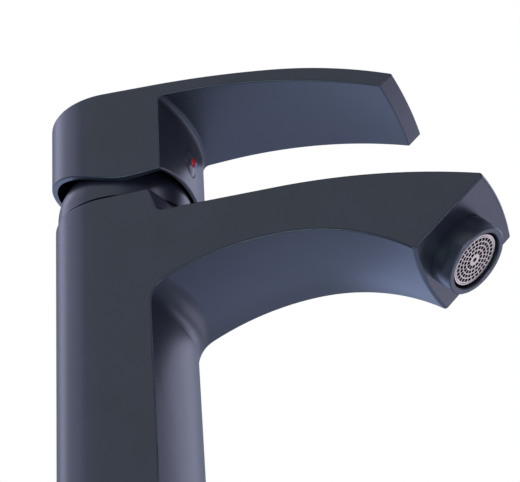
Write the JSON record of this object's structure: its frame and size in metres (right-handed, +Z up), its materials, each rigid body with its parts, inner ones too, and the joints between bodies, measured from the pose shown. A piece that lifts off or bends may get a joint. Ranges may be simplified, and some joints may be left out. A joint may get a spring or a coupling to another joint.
{
  "type": "bathroom mixer faucet",
  "caption": "Single-lever basin mixer with a flat tapering lever over an arched spout, a ceramic cartridge, a slanted aerator and a deck clamp.",
  "frame": {"origin": "where the cartridge axis meets the deck, in the plane of the column's foot", "axes": "+X along the spout, +Z up, -Y is the hot side"},
  "size_m": [0.1492, 0.049, 0.2206],
  "materials": {
    "matte_black": "matte black powder coat",
    "black_plastic": "matte black moulded",
    "black_rubber": "soft black rubber",
    "steel": "zinc plated",
    "silver_grid": "etched and polished",
    "brass": "machined",
    "grey_plastic": "moulded acetal",
    "white_plastic": "moulded acetal",
    "ceramic": "lapped alumina, gloss",
    "plug_grey": "moulded, satin grey",
    "plug_red": "moulded, gloss red",
    "plug_blue": "moulded, gloss blue"
  },
  "bodies": {
    "faucet_body": {"body_casting": "matte_black", "base_gasket": "black_rubber", "mounting_stud": "steel", "clamp_gasket": "black_rubber", "clamp_plate": "steel", "stud_nut": "brass", "aerator_housing": "matte_black", "aerator_insert": "black_plastic", "aerator_screen": "steel", "aerator_grid": "silver_grid", "aerator_washer": "black_rubber", "cartridge_base": "grey_plastic", "port_seals": "black_rubber", "fixed_disc": "ceramic", "cartridge_housing": "grey_plastic", "retaining_nut": "brass", "collar_seal": "black_plastic", "dome_collar": "matte_black"},
    "cartridge_rotor": {"stem_carrier": "grey_plastic", "stem_pin": "steel", "temperature_stop_ring": "white_plastic"},
    "mixing_discs": {"moving_disc": "ceramic", "disc_carrier": "grey_plastic"},
    "lever_handle": {"handle": "matte_black", "stem": "brass", "set_screw": "steel", "index_plug": "plug_grey", "index_hot": "plug_red", "index_cold": "plug_blue"}
  },
  "joints": [
    {"name": "temperature_swivel", "type": "hinge", "parent": "faucet_body", "child": "cartridge_rotor", "pos_m": [0, 0, 0.121], "axis": [0, 0, 1], "range_deg": [-45, 45]},
    {"name": "lever_lift", "type": "hinge", "parent": "cartridge_rotor", "child": "lever_handle", "pos_m": [0, 0, 0.121], "axis": [0, -1, 0], "range_deg": [0, 25]},
    {"name": "disc_slide", "type": "slide", "parent": "cartridge_rotor", "child": "mixing_discs", "axis": [1, 0, 0], "range_m": [0, 0.0045]}
  ],
  "couplings": [
    {"joint": "disc_slide", "follows": "lever_lift", "m_per_rad": 0.0103}
  ]
}
